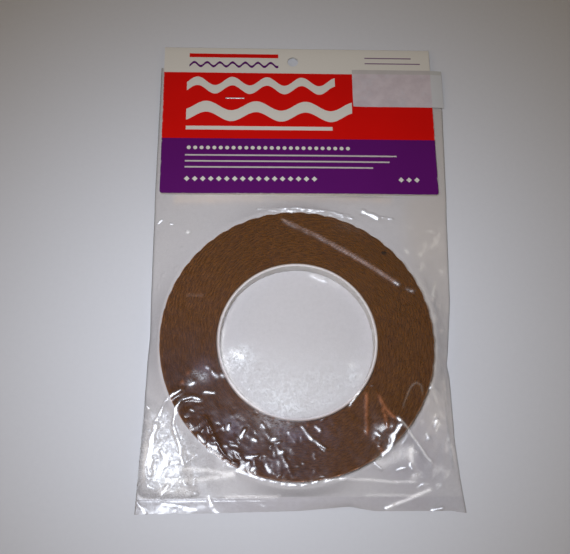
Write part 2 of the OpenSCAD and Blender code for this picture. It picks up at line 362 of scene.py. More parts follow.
# Flats of the front film that catch the lamp: half their width, if they lie in one bowl, and their lines
GLINTS = (
    (0.75, False, (
        ((-56, -24.5), (-59, -25.5), (-61, -27.5), (-64, -31), (-65.5, -35), (-66.5, -38.5), (-68.5, -40)),
        ((-47, -29), (-49.5, -28), (-54.5, -28), (-56.5, -30), (-58, -33), (-59, -35), (-59, -38)),
        ((46.5, -38.5), (50, -42.5)), ((-44.3, -12.9), (-41.9, -14.9), (-39, -18.3)),
        ((-48.5, -55), (-50.5, -57), (-54, -59)), ((5, -67.5), (14.5, -67), (21.5, -66)),
        ((-19.5, 69.2), (-7.5, 68.8), (2, 69.4), (15.5, 67.8), (27, 65.4)),
        ((-14, 67.8), (-7.5, 67.5), (2, 68.1), (15.5, 66.5), (29, 63.6)),
        ((-9, 68.5), (2, 68.8), (15.5, 67.2), (24, 65.4)), ((24, -32.5), (27, -29), (30, -25)),
        ((1.5, -42), (4.5, -46.5), (9, -50), (12.5, -52.5)),
    )),
    (0.9, False, (
        ((-59, -38), (-59.5, -42), (-58, -45.5), (-57.5, -48.5), (-54.5, -52.5), (-56.5, -57),
         (-54, -59.5)),
        ((-29.5, -62.5), (-21.5, -65), (-13.5, -67), (-3, -69.5), (4, -68.5), (8, -67.5)),
        ((-44.5, -25.5), (-40.5, -26)), ((-51, -34), (-50, -34.5)), ((-47.5, -45.5), (-45, -49)),
        ((-33.5, -43.5), (-33, -41)), ((-28, -47.5), (-25.5, -43.5)), ((-21.5, -48), (-20, -48.5)),
        ((-35, -51), (-34, -51)), ((-32, -50.5), (-29, -51)), ((-33, -55), (-31, -56.5)),
        ((-25, -60), (-23.5, -58.5)), ((-25, -56.5), (-19.5, -55.5)), ((-22.5, -62), (-20.5, -61)),
        ((-9.5, -54.5), (-7.5, -53.5)), ((-13, -48.5), (-11, -47.5)), ((-17.5, -41), (-16.5, -42.5)),
        ((-15.5, -60), (-13.5, -62.5)), ((8, -42), (10, -44)), ((36.5, -45), (38.5, -47)),
        ((51, -47), (49, -50)), ((63, -24.5), (64.5, -23.5)), ((67, -38.5), (65.5, -42)),
        ((61, -45.5), (62.5, -47.5)), ((56.5, -69.5), (59.5, -68.5)), ((40, -79.5), (44, -78)),
        ((61.5, -80.5), (67.5, -79.5)), ((-49.9, -20.7), (-51.8, -22.1)), ((-36.1, -17.8), (-36.8, -17)),
        ((8, 28), (9.5, 27)), ((-70.5, 63.5), (-69, 65)), ((-64.5, 62.5), (-63, 62.5)),
        ((-55.5, 57), (-54, 57)), ((49, 30), (51.5, 28.5)), ((55, 26), (58.5, 25)),
        ((42.5, 65.5), (50, 64.5)), ((36, 4.5), (37.5, 4.5)),
    )),
    (1.0, False, (
        ((-43, -50), (-41, -52.5), (-39, -52)), ((-34.5, -58.5), (-32.5, -60.5)),
        ((-28.5, -62), (-26, -60)), ((-72.5, -31.5), (-71, -33)),
        ((-64.5, -53), (-62.5, -57.5), (-65, -61.5), (-66.5, -65)), ((-70, -69), (-67.5, -70)),
        ((6.5, 33.5), (9.5, 31.5), (15, 30)), ((-64, -76.5), (-58.5, -77), (-54, -78), (-48.5, -79.5)),
        ((-61, -68.5), (-62, -71), (-64, -73)), ((-54.5, -67), (-52, -69)), ((-52, -72), (-48, -72)),
        ((-76, -75.5), (-73.5, -78.5), (-71.5, -80.5)), ((-42.4, -74), (-40.8, -77.5), (-38.3, -81)),
        ((34.5, -58.5), (38.5, -62)), ((52.5, -59), (53.5, -62)), ((46, -62), (50.5, -61)),
    )),
    (1.7, True, (
        ((-67.5, -41.5), (-69, -46), (-69.5, -51), (-70, -57), (-69.5, -63)),
        ((35, 68), (38.5, 66.5), (42, 64.5)),
        ((48.3, -41.7), (46.2, -44.1), (44.4, -47.7), (44, -50.5), (41.8, -53.7), (38.9, -55.2)),
    )),
)


# Meshes

def add_object(name, data):
    """A new object in the scene."""
    made = bpy.data.objects.new(name, data)
    bpy.context.scene.collection.objects.link(made)
    return made


def make_piece(name, points, faces, materials, face_materials=None, smooth=True, sharp=None):
    """A mesh object from points in millimetres. Edges sharper than an angle in degrees can stay sharp."""
    mesh = bpy.data.meshes.new(name)
    scaled = np.asarray(points, float).reshape(-1, 3) * MM
    mesh.from_pydata(scaled.tolist(), [], [list(map(int, f)) for f in faces])
    for material in materials:
        mesh.materials.append(material)
    if face_materials is not None:
        mesh.polygons.foreach_set("material_index", np.asarray(face_materials, np.int32))
    mesh.polygons.foreach_set("use_smooth", np.full(len(mesh.polygons), smooth))
    mesh.update()
    if sharp is not None:
        mesh.set_sharp_from_angle(angle=math.radians(sharp))
    return add_object(name, mesh)


def grid_faces(rows, columns):
    """Quads between the points of a grid, row by row."""
    first = np.arange(rows - 1)[:, None] * columns + np.arange(columns - 1)[None, :]
    first = first.reshape(-1)
    quads = np.stack([first, first + 1, first + columns + 1, first + columns], 1)
    return [tuple(quad) for quad in quads.tolist()]


def ring_faces(steps, sides, closed=False):
    """Quads of a tube: each step of the path has the same number of points round it."""
    faces = []
    for i in range(steps if closed else steps - 1):
        j = (i + 1) % steps
        for k in range(sides):
            n = (k + 1) % sides
            faces.append((i * sides + k, i * sides + n, j * sides + n, j * sides + k))
    return faces


def closed_skin(faces, count):
    """Faces of a thin closed sheet: its upper side, its under side on the next points, its cut edges."""
    edges = dict.fromkeys(pair for f in faces for pair in zip(f, f[1:] + f[:1]))
    under = [tuple(count + k for k in reversed(f)) for f in faces]
    rims = [(b, a, a + count, b + count) for a, b in edges if (b, a) not in edges]
    return faces + under + rims


def dress(piece, body, node):
    """Lets a piece ride on a body and hides the CAD node that it takes the place of."""
    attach(piece, body)
    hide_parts(node)


# Node formulas

def formula(operation):
    """A method that makes a new field from a field and, where it is given, another field or number."""
    def made(self, other=None):
        values = {0: self} if other is None else {0: self, 1: other}
        node = self.paint.node("ShaderNodeMath", values, operation=operation)
        return Field(self.paint, node.outputs[0])

    return made


class Field:
    """A number that varies over a surface, written as a formula and kept as nodes."""

    __add__ = formula("ADD")
    __sub__ = formula("SUBTRACT")
    __mul__ = formula("MULTIPLY")
    __truediv__ = formula("DIVIDE")
    power = formula("POWER")
    angle = formula("ARCTAN2")
    most = formula("MAXIMUM")
    least = formula("MINIMUM")
    sine = formula("SINE")
    size = formula("ABSOLUTE")
    fraction = formula("FRACT")

    def __init__(self, paint, socket):
        self.paint = paint
        self.socket = socket

    def step(self, low, high):
        """Nothing at low and one at high, with a smooth change between them. low may be the higher one."""
        ends = (0, 1) if high > low else (1, 0)
        values = {
            "Value": self,
            "From Min": min(low, high),
            "From Max": max(low, high),
            "To Min": ends[0],
            "To Max": ends[1],
        }
        node = self.paint.node("ShaderNodeMapRange", values, interpolation_type="SMOOTHSTEP")
        return Field(self.paint, node.outputs["Result"])

    def between(self, low, high, soft):
        """One from low to high, with soft ends."""
        return self.step(low - soft, low + soft) * self.step(high + soft, high - soft)

    def within(self, half, soft):
        """One up to half a breadth from nothing on either side, with a soft end."""
        return self.size().step(half + soft, half - soft)


def distance(x, y):
    """Distance of a place from the middle, as a field."""
    return (x * x + y * y).power(0.5)


class Paint:
    """The nodes of a material, or of the world's light."""

    def __init__(self, owner, output="ShaderNodeOutputMaterial"):
        owner.use_nodes = True
        self.owner = owner
        self.tree = owner.node_tree
        self.tree.nodes.clear()
        self.output = self.node(output)

    def node(self, kind, values=None, **settings):
        """A new node. Its sockets, by name or number, take fields, other sockets, colours or numbers."""
        made = self.tree.nodes.new(kind)
        for key, value in settings.items():
            setattr(made, key, value)
        for socket, value in (values or {}).items():
            self.feed(made.inputs[socket], value)
        return made

    def feed(self, socket, value):
        if isinstance(value, Field):
            value = value.socket
        if isinstance(value, bpy.types.NodeSocket):
            self.tree.links.new(value, socket)
        elif socket.type == "RGBA":
            socket.default_value = (*value, 1)
        else:
            socket.default_value = value

    @cached_property
    def coordinates(self):
        return self.node("ShaderNodeTexCoord").outputs["Object"]

    @cached_property
    def place(self):
        """The surface's place in millimetres, as three fields."""
        split = self.node("ShaderNodeSeparateXYZ", {0: self.coordinates})
        return [Field(self, output) / MM for output in split.outputs]

    def noise(self, size, detail=3, roughness=0.55, stretch=(1, 1, 1), distortion=0):
        """Cloudy noise with lumps of about this size in millimetres."""
        scale = [1 / (MM * size * s) for s in stretch]
        scaled = self.node("ShaderNodeVectorMath", {0: self.coordinates, 1: scale}, operation="MULTIPLY")
        values = {
            "Vector": scaled.outputs[0],
            "Scale": 1,
            "Detail": detail,
            "Roughness": roughness,
            "Distortion": distortion,
        }
        return Field(self, self.node("ShaderNodeTexNoise", values).outputs["Fac"])

    def attribute(self, name):
        node = self.node("ShaderNodeAttribute", attribute_name=name)
        return Field(self, node.outputs["Fac"])

    def mix(self, one, two, factor, blend="MIX"):
        """A colour between two others."""
        values = {"Factor": factor, 6: one, 7: two}
        return self.node("ShaderNodeMix", values, data_type="RGBA", blend_type=blend).outputs[2]

    def over(self, colour, *coats):
        """A colour with others laid over it, each with its share and, if need be, its way of mixing."""
        for coat in coats:
            colour = self.mix(colour, *coat)
        return colour

    def shader(self, kind, **values):
        """A shader whose sockets are named with _ for a space."""
        named = {key.replace("_", " "): value for key, value in values.items()}
        return self.node("ShaderNode" + kind, named).outputs[0]

    def gloss(self, colour, roughness):
        return self.shader("BsdfGlossy", Color=colour, Roughness=roughness)

    def blend(self, factor, one, two):
        """One shader mixed with another."""
        return self.node("ShaderNodeMixShader", {0: factor, 1: one, 2: two}).outputs[0]

    def add(self, one, two):
        """The light of two shaders together."""
        return self.node("ShaderNodeAddShader", {0: one, 1: two}).outputs[0]

    def done(self, shader):
        self.feed(self.output.inputs["Surface"], shader)
        return self.owner

    def surface(self, colour, relief, depth, **values):
        """Ends a material with a solid surface, whose relief has a full depth in millimetres."""
        bump = self.node("ShaderNodeBump", {"Strength": 1, "Distance": depth * MM, "Height": relief})
        normal = bump.outputs["Normal"]
        return self.done(self.shader("BsdfPrincipled", Base_Color=colour, Normal=normal, **values))


def new_paint(name):
    return Paint(bpy.data.materials.new(name))


# Materials

def core_plastic():
    """White moulded plastic, cloudy and finely marked, with its top rim painted lighter as a highlight, and
    browner at its outer edge next to the tape.
    """
    paint = new_paint("core_plastic")
    x, y, z = paint.place
    clouds = paint.noise(9)
    marks = paint.noise(0.5, detail=2, stretch=(6, 6, 0.35))
    colour = paint.over(
        paint.mix((0.66, 0.63, 0.62), (0.74, 0.71, 0.70), clouds),
        # Painted highlight: the top rim is painted lighter than the wall below it
        ((0.74, 0.70, 0.74), z.step(ROLL_TOP - 0.5, ROLL_TOP - 0.2)),
        ((0.48, 0.40, 0.36), distance(x, y).step(CORE_R - 0.9, CORE_R - 0.4)),
    )
    return paint.surface(
        colour, marks, 0.03,
        Subsurface_Weight=0.4,
        Subsurface_Radius=(1.0, 0.9, 0.85),
        Subsurface_Scale=0.003,
        Roughness=marks * 0.2 + 0.45,
        Specular_IOR_Level=0.25,
    )


def place_in_turn(x, y):
    """Where a point lies in the thickness of its turn: 0 at the liner's inside, 1 at the foil's outside."""
    turns = y.angle(x) / FULL_TURN
    return ((distance(x, y) - LAST_TURN_R) / TURN_T - turns).fraction()


def tape_edges():
    """The cut edges of the wound tape: kraft liner, a black line of adhesive and a copper line of foil,
    with painted copper glints on the roll's left part.
    """
    paint = new_paint("tape_edges")
    x, y = paint.place[:2]
    across = place_in_turn(x, y)
    fibres = paint.noise(0.6, detail=4)
    clouds = paint.noise(14)
    mottle = paint.noise(1.4, detail=2, roughness=0.5)
    # Painted glints: orange flecks on the roll's left part stand for light caught by the copper edges
    glint_flecks = paint.noise(0.9, detail=1).step(0.58, 0.70) * x.step(-30, -48)
    chip = ((x - CHIP_PLACE[0]) * 0.6).power(2) + (y - CHIP_PLACE[1]).power(2)
    copper = paint.mix((0.224, 0.074, 0.006), (0.320, 0.108, 0.011), fibres)
    colour = paint.over(
        paint.mix((0.100, 0.035, 0.0020), (0.170, 0.062, 0.0050), fibres),
        ((0.012, 0.010, 0.009), across.between(0.62, 0.78, 0.05)),
        (copper, across.step(0.76, 0.82)),
        ((0.62, 0.50, 0.42), clouds.step(0.45, 0.8) * 0.35, "MULTIPLY"),
        ((0.66, 0.65, 0.64), mottle.step(0.4, 0.6) * 0.5, "MULTIPLY"),
        # The painted copper glints
        ((0.36, 0.135, 0.030), glint_flecks * 0.4),
        ((0.001, 0.001, 0.001), chip.step(0.8, 0.55)),
    )
    return paint.surface(colour, fibres, 0.05, Roughness=fibres * 0.25 + 0.55, Specular_IOR_Level=0.12)


def copper_foil():
    """Rolled copper with rolling lines along the tape and a slightly browned surface."""
    paint = new_paint("copper_foil")
    lines = paint.noise(0.25, stretch=(40, 40, 1))
    tarnish = paint.noise(6, detail=4).step(0.34, 0.64)
    colour = paint.mix((0.27, 0.105, 0.048), (0.42, 0.19, 0.10), lines)
    colour = paint.mix(colour, (0.15, 0.060, 0.028), tarnish)
    return paint.surface(colour, lines, 0.02, Metallic=0.9, Roughness=lines * 0.2 + 0.34)


def liner_paper():
    """Brown release paper with short fibres."""
    paint = new_paint("liner_paper")
    fibres = paint.noise(0.7, detail=5, stretch=(2, 2, 1))
    colour = paint.mix((0.125, 0.058, 0.018), (0.235, 0.120, 0.045), fibres)
    return paint.surface(colour, fibres, 0.02, Roughness=fibres * 0.2 + 0.5)


def fine_lines(paint, size):
    """A web of thin winding lines."""
    waves = paint.noise(size, detail=2, roughness=0.6, distortion=1.0)
    return (waves - 0.5).size().step(0.05, 0.0)


def right_strip(x, y):
    """The strip of film at the bag's right side, which is a little yellower."""
    return x.step(50, 66) * y.step(-55, -15)


def film_tint(paint, facing):
    """What clear film lets through: less where it is steep and where its dull share darkens it, and less
    along folds and creases as painted shade.
    """
    x, y = paint.place[:2]
    specks = paint.noise(1.6, detail=4, roughness=0.6)
    return paint.over(
        paint.mix((0.979, 0.965, 0.947), (0.955, 0.941, 0.924), specks.step(0.3, 0.7)),
        ((0.967, 0.943, 0.910), right_strip(x, y)),
        ((0.80, 0.79, 0.78), facing.step(0.14, 0.6)),
        ((0.73, 0.71, 0.74), paint.attribute("dull")),
        # Painted shade: the film is tinted darker along its side folds and dark creases
        ((0.66, 0.65, 0.64), paint.attribute("fold")),
    )


def whitened_and_highlight_film(paint, scuffs):
    """Whitened bends and painted highlights, tinted by painted light from tape and card, and at the bag's
    right side.
    """
    x, y = paint.place[:2]
    radius = distance(x, y)
    upper_tape = y.step(-30, 0) * radius.step(ROLL_R, 60) * radius.step(BORE_R, CORE_R)
    pale = paint.over(
        (0.96, 0.95, 0.94),
        ((0.97, 0.92, 0.83), right_strip(x, y)),
        # Painted light from the tape: pink where the white film lies over its upper part
        ((0.95, 0.71, 0.70), upper_tape),
        # Painted glow of the red card: orange in the film just below the card
        ((0.95, 0.55, 0.15), y.step(70, 75)),
    )
    strength = paint.attribute("stress_and_highlight") * (scuffs * 0.35 + 0.5)
    return paint.shader("BsdfDiffuse", Color=paint.mix((0, 0, 0), pale, strength))


def clear_film(name, haze, shine):
    """Clear film, mirror-bright: hazy, milky or white where worn and creased, with painted highlights and a
    painted copper reflection on some folds.
    """
    paint = new_paint(name)
    scuffs = paint.noise(7, detail=5, roughness=0.65)
    facing = Field(paint, paint.node("ShaderNodeLayerWeight", {"Blend": 0.5}).outputs["Facing"])
    web = fine_lines(paint, 2.0).most(fine_lines(paint, 4.5))
    dust = scuffs * haze * (paint.attribute("hazy") * 1.5 + 1)
    milk = paint.attribute("milk") * (web * 0.14 + scuffs * 0.05 + 0.01)
    creased = paint.attribute("white") * (scuffs * 0.14 + 0.04)
    # Painted reflection: a copper-coloured diffuse on some folds' flanks stands for the copper mirrored in
    # them
    mirrored = paint.attribute("warm") * scuffs.step(0.25, 0.55) * 0.65
    copper = paint.mix((0.36, 0.125, 0.055), (0.62, 0.25, 0.125), scuffs)
    film = paint.shader("BsdfTransparent", Color=film_tint(paint, facing))
    film = paint.blend(dust, film, paint.gloss((0.72, 0.68, 1.0), 0.42))
    film = paint.blend(milk, film, paint.gloss((0.94, 0.96, 1.0), 0.55))
    film = paint.blend(creased, film, paint.gloss((0.94, 0.95, 1.0), 0.36))
    film = paint.add(film, whitened_and_highlight_film(paint, scuffs))
    film = paint.blend(mirrored, film, paint.shader("BsdfDiffuse", Color=copper))
    gloss = paint.gloss((1, 1, 1), scuffs * 0.16 + 0.10)
    return paint.done(paint.blend(facing.power(5) * 0.9 + shine, film, gloss))


def printed_card():
    """The card's printed front: white, red and violet bands with plain waves, rules, dots and lozenges."""
    paint = new_paint("printed_card")
    x, y = paint.place[:2]
    fibres = paint.noise(0.45, detail=4)
    clouds = paint.noise(22, detail=2)
    white = paint.mix((0.66, 0.62, 0.58), (0.72, 0.68, 0.64), fibres)
    red = paint.mix((0.60, 0.0016, 0.0004), (0.68, 0.0026, 0.0008), clouds)
    violet = paint.mix((0.088, 0.0022, 0.114), (0.102, 0.0036, 0.132), clouds)

    def line(middle, breadth, left, right, swing=0, length=1):
        """A line along the card, which is a wave where it has a swing."""
        height = y - (x * (FULL_TURN / length)).sine() * swing if swing else y
        return (height - middle).within(breadth / 2, INK_SOFT) * x.between(left, right, INK_SOFT)

    def row(middle, pitch, radius, left, right, dots):
        """A row of dots, or else of lozenges."""
        across = ((x / pitch).fraction() - 0.5).size() * pitch
        up = (y - middle).size()
        reach = distance(across, up) if dots else across + up
        return reach.within(radius, INK_SOFT) * x.between(left, right, INK_SOFT)

    ink = line(144.4, 5.2, PRINT_LEFT, 23, swing=2.6, length=19)
    ink = ink.most(line(128.6, 6.6, PRINT_LEFT, 32, swing=2.8, length=27))
    ink = ink.most(line(118.4, 2.2, PRINT_LEFT, 21))
    ink = ink.most(row(106.6, 3.4, 1.05, -57.8, 30.6, True))
    for middle, right in ((102.2, 55), (98.7, 51), (95.2, 42)):
        ink = ink.most(line(middle, 0.85, PRINT_LEFT, right) * 0.75)
    for left, right in ((-58.8, 12.6), (54.6, 67.2)):
        ink = ink.most(row(88.4, 4.2, 1.5, left, right, False))
    border = (x - CARD_LEFT).least(x * -1 + CARD_RIGHT).least((y - CARD_Y) * 2)
    rubbed = border.step(0.5, 0.05) * paint.noise(3.5, detail=4).step(0.5, 0.72)
    colour = paint.over(
        white,
        (red, y.step(RED_TOP + INK_SOFT, RED_TOP - INK_SOFT)),
        (violet, y.step(VIOLET_TOP + INK_SOFT, VIOLET_TOP - INK_SOFT)),
        (white, ink),
        (violet, line(157.4, 1.5, -57, -8, swing=1.25, length=7)),
        (red, line(162.9, 2.4, -57, -8)),
        (violet, line(162.4, 0.7, 40, 66) * 0.8),
        (violet, line(159.0, 0.7, 40, 71) * 0.8),
        ((0.62, 0.59, 0.56), rubbed),
    )
    return paint.surface(colour, fibres, 0.012, Roughness=fibres * 0.12 + 0.46, Specular_IOR_Level=0.12)


def plain_card():
    """Uncoated white card with grey fibres, on the leaves' insides, the back and the cut edges."""
    paint = new_paint("plain_card")
    fibres = paint.noise(0.8, detail=6, roughness=0.7)
    clouds = paint.noise(18, detail=2)
    colour = paint.mix((0.58, 0.56, 0.53), (0.72, 0.70, 0.67), fibres)
    colour = paint.mix(colour, (0.95, 0.94, 0.92), clouds, "MULTIPLY")
    return paint.surface(colour, fibres, 0.03, Roughness=fibres * 0.2 + 0.62, Specular_IOR_Level=0.3)


def staple_steel():
    """Drawn steel wire with fine lines along it."""
    paint = new_paint("staple_steel")
    lines = paint.noise(0.12, detail=2, stretch=(30, 1, 1))
    colour = paint.mix((0.52, 0.52, 0.53), (0.74, 0.74, 0.75), lines)
    return paint.surface(colour, lines, 0.01, Metallic=1.0, Roughness=lines * 0.18 + 0.2)


def sticker_paper():
    """Thin blotchy paper, tinted by the red print under it, and greyer over the white and past the card."""
    paint = new_paint("sticker_paper")
    x, y = paint.place[:2]
    blotches = paint.noise(5.5, detail=4, roughness=0.6)
    cool = paint.noise(8, distortion=0.6)
    fibres = paint.noise(0.5, detail=4)
    colour = paint.over(
        paint.mix((0.525, 0.445, 0.485), (0.60, 0.52, 0.56), blotches.step(0.3, 0.7)),
        ((0.53, 0.52, 0.58), cool.step(0.5, 0.75) * 0.45),
        ((0.575, 0.583, 0.610), x.step(CARD_RIGHT - 0.4, CARD_RIGHT + 0.4) * 0.85),
        ((0.44, 0.425, 0.40), y.step(RED_TOP - 0.2, RED_TOP + 0.4) * 0.6),
    )
    relief = blotches * 0.7 + fibres * 0.3
    return paint.surface(colour, relief, 0.05, Roughness=fibres * 0.15 + 0.5, Specular_IOR_Level=0.35)


def table_top():
    """Plain pale table with a very faint grain. Far from the pack the camera sees it as pale as near it."""
    paint = new_paint("table_top")
    x, y = paint.place[:2]
    grain = paint.noise(2.5, detail=4)
    clouds = paint.noise(160, detail=2)
    colour = paint.mix((0.655, 0.655, 0.715), (0.685, 0.685, 0.745), grain)
    colour = paint.mix(colour, (0.97, 0.97, 0.965), clouds, "MULTIPLY")
    lit = paint.shader("BsdfPrincipled", Base_Color=colour, Roughness=0.7, Specular_IOR_Level=0.15)
    across = (x - VIEW_MIDDLE[0]).size() / (y * VIEW_WIDENS + VIEW_HALF[0])
    ahead = (y - VIEW_MIDDLE[1]).size() / VIEW_HALF[1]
    far = (across.power(8) + ahead.power(8)).power(1 / 8).step(1.09, 1.5)
    backdrop = paint.shader("Emission", Color=BACKDROP)
    return paint.done(paint.blend(far * seen(paint), lit, backdrop))


def seen(paint):
    """One where the camera or a mirror-like surface looks, and nothing for light that falls on the pack."""
    path = paint.node("ShaderNodeLightPath")
    names = ("Is Camera Ray", "Is Glossy Ray", "Is Transmission Ray")
    rays = [Field(paint, path.outputs[name]) for name in names]
    return rays[0].most(rays[1]).most(rays[2])


# Roll

def strip_piece(name, radius, angle, phase, thick, materials, by_side):
    """A length of scalloped tape. by_side gives the materials of its foot, outside, top and inside."""
    low = ROLL_Z + SCALLOP_DEPTH * np.abs(np.cos(phase / 2))
    high = low + TAPE_W - SCALLOP_DEPTH
    corners = []
    for r, z in ((radius, low), (radius + thick, low), (radius + thick, high), (radius, high)):
        corners.append(np.column_stack([r * np.cos(angle), r * np.sin(angle), z]))
    points = np.stack(corners, 1).reshape(-1, 3)
    steps = len(angle)
    last = 4 * (steps - 1)
    faces = ring_faces(steps, 4) + [(0, 3, 2, 1), (last, last + 1, last + 2, last + 3)]
    kinds = list(by_side) * (steps - 1) + [by_side[0]] * 2
    return make_piece(name, points, faces, materials, kinds, smooth=False)


def wound_turns(materials):
    """Every turn under the last one, as one spiral strip from the core out."""
    pitch = FULL_TURN * (LAST_TURN_R + TURN_T / 2) / SCALLOPS
    length = math.pi * (LAST_TURN_R ** 2 - (CORE_R + CORE_GAP) ** 2) / TURN_T
    steps = int(length / pitch * SCALLOP_STEPS)
    back = np.arange(steps, -1, -1) * pitch / SCALLOP_STEPS
    radius = np.sqrt(LAST_TURN_R ** 2 - back * TURN_T / math.pi)
    angle = FULL_TURN * (radius - LAST_TURN_R) / TURN_T
    phase = -FULL_TURN * back / pitch
    return strip_piece("wound_turns", radius, angle, phase, TURN_T - TURN_GAP, materials, (0, 1, 0, 2))


def last_turn(name, lift, thick, material):
    """The roll's last turn, as the liner or as the foil on it."""
    steps = SCALLOPS * SCALLOP_STEPS
    step = np.arange(int(steps * (1 - TAIL_GAP / FULL_TURN)) + 1)
    radius = LAST_TURN_R + TURN_T * step / steps + lift
    phase = FULL_TURN * step / SCALLOP_STEPS
    return strip_piece(name, radius, FULL_TURN * step / steps, phase, thick, [material], (0, 0, 0, 0))


def core_tube(material):
    """The core: a thin tube with rounded lips, turned about the roll's axis."""
    arc = np.radians(np.linspace(0, 90, LIP_STEPS))
    corners = (
        (CORE_R - OUTER_LIP, ROLL_TOP - OUTER_LIP, OUTER_LIP, 0),
        (BORE_R + INNER_LIP, ROLL_TOP - INNER_LIP, INNER_LIP, 90),
        (BORE_R + INNER_LIP, ROLL_Z + INNER_LIP, INNER_LIP, 180),
        (CORE_R - OUTER_LIP, ROLL_Z + OUTER_LIP, OUTER_LIP, 270),
    )
    section = []
    for r, z, lip, start in corners:
        for a in arc + math.radians(start):
            section.append((r + lip * math.cos(a), z + lip * math.sin(a)))
    points = []
    for i in range(CORE_STEPS):
        a = FULL_TURN * i / CORE_STEPS
        points += [(r * math.cos(a), r * math.sin(a), z) for r, z in section]
    return make_piece("core_tube", points, ring_faces(CORE_STEPS, len(section), closed=True), [material])


def build_roll():
    edges = tape_edges()
    foil = copper_foil()
    liner = liner_paper()
    dress(core_tube(core_plastic()), "roll", "core_ring")
    dress(wound_turns([edges, foil, liner]), "roll", "wound_tape")
    dress(last_turn("last_liner_turn", 0, TURN_T - FOIL_T, liner), "roll", "outer_liner_turn")
    dress(last_turn("last_foil_turn", TURN_T - FOIL_T, FOIL_T, foil), "roll", "outer_foil_turn")


# Film

def smooth_step(value, low, high):
    t = np.clip((value - low) / (high - low), 0, 1)
    return t * t * (3 - 2 * t)


def hump(value, middle, width):
    """One at the middle, falling to nothing at about twice the width from it."""
    return np.exp(-((value - middle) / width) ** 2)


def near(x, y, centre, reach):
    """One at a place, falling to nothing at about twice its reach."""
    return np.exp(-((x - centre[0]) ** 2 + (y - centre[1]) ** 2) / reach ** 2)


def higher(one, two, soft):
    """The higher of two heights, with a rounded change from one to the other."""
    return (one + two + np.sqrt((one - two) ** 2 + soft ** 2)) / 2


def along(edge, value):
    """Place of an edge with its corners rounded."""
    places = np.array(edge, float)
    fine = np.linspace(places[0, 0], places[-1, 0], EDGE_STEPS)
    level = np.interp(fine, places[:, 0], places[:, 1])
    kernel = np.exp(-np.linspace(-2, 2, 2 * EDGE_ROUND + 1) ** 2)
    level = np.convolve(np.pad(level, EDGE_ROUND, mode="edge"), kernel / kernel.sum(), "valid")
    return np.interp(value, fine, level)


def graded(parts, last):
    """Grid lines up to the last place, in parts of even steps."""
    ends = [start for start, _ in parts[1:]] + [last]
    lines = [np.linspace(start, end, steps, endpoint=False) for (start, steps), end in zip(parts, ends)]
    return np.concatenate([*lines, [last]])


def film_grid():
    """Points of one film from the bag's foot to its mouth.

    Gives x, y, the distance from the side folds and the share down the skirt.
    """
    rows = graded(FILM_ROWS, MOUTH_Y)
    rim = 1 - np.array(FILM_RIM)
    across = np.concatenate([-rim, graded(FILM_COLUMNS, -FILM_COLUMNS[0][0]), rim[::-1]])
    left = along(LEFT_EDGE, rows)[:, None]
    right = along(RIGHT_EDGE, rows)[:, None]
    x = (left + right) / 2 + (right - left) / 2 * across[None, :]
    y = np.repeat(rows[:, None], len(across), 1)
    down = np.clip((SEAL_Y - y) / (SEAL_Y - FOOT_Y), 0, 1)
    y = np.where(down > 0, SEAL_Y + (along(LOWER_EDGE, x) - SEAL_Y) * down, y)
    side = np.minimum(x - left, right - x)
    return x, y, side, down


def facets(x, y, size, amount, seed):
    """Heights of a crumpled sheet: flat triangles between scattered points of random height."""
    random = np.random.default_rng(seed)
    places = np.arange(*FACET_SPAN, size)
    spots = np.stack(np.meshgrid(places, places), 2).reshape(-1, 2)
    spots = spots + random.uniform(-FACET_SCATTER, FACET_SCATTER, spots.shape) * size
    heights = random.uniform(-1, 1, len(spots)) * amount(*spots.T)
    corners, _, triangles, origins = delaunay_2d_cdt([Vector(s) for s in spots], [], [], 0, 1e-5)[:4]
    row_low = y.min(1)
    row_high = y.max(1)
    height = np.zeros(x.shape)
    for triangle in triangles:
        (ax, ay), (bx, by), (cx, cy) = [corners[k] for k in triangle]
        first = np.searchsorted(row_high, min(ay, by, cy))
        last = np.searchsorted(row_low, max(ay, by, cy), "right")
        px = x[first:last] - cx
        py = y[first:last] - cy
        area = (by - cy) * (ax - cx) + (cx - bx) * (ay - cy)
        one = ((by - cy) * px + (cx - bx) * py) / area
        two = ((cy - ay) * px + (ax - cx) * py) / area
        shares = np.stack([one, two, 1 - one - two], 2)
        inside = shares.min(2) >= -1e-9
        levels = [heights[origins[k][0]] for k in triangle]
        height[first:last][inside] = shares[inside] @ levels
    return height


def cut_line(line, step, random, fewest=1):
    """A line cut into short lengths of about one step, whose corners wander a little."""
    points = np.array(line, float)
    stops = np.concatenate([[0], np.cumsum(np.hypot(*np.diff(points, axis=0).T))])
    count = max(fewest, round(stops[-1] / step))
    places = np.linspace(0, stops[-1], count + 1)
    places[1:-1] += random.uniform(-FOLD_SHIFT, FOLD_SHIFT, count - 1) * stops[-1] / count
    corners = np.stack([np.interp(places, stops, points[:, k]) for k in (0, 1)], 1)
    corners[1:-1] += random.uniform(-FOLD_WANDER, FOLD_WANDER, (count - 1, 2))
    return corners


def near_line(px, py, crest):
    """Distance of points from a line of short lengths, and where along it the nearest place is."""
    gap = np.full(px.shape, 1e9)
    place = np.zeros(px.shape)
    for k, (start, end) in enumerate(zip(crest[:-1], crest[1:])):
        length = np.hypot(*(end - start))
        step = (end - start) / length
        share = np.clip((px - start[0]) * step[0] + (py - start[1]) * step[1], 0, length)
        far = np.hypot(px - start[0] - share * step[0], py - start[1] - share * step[1])
        closer = far < gap
        gap = np.where(closer, far, gap)
        place = np.where(closer, k + share / length, place)
    return gap, place


def close_to(x, y, crest, reach):
    """The points of the film in a box round a line."""
    low = crest.min(0) - reach
    high = crest.max(0) + reach
    return (x > low[0]) & (x < high[0]) & (y > low[1]) & (y < high[1])


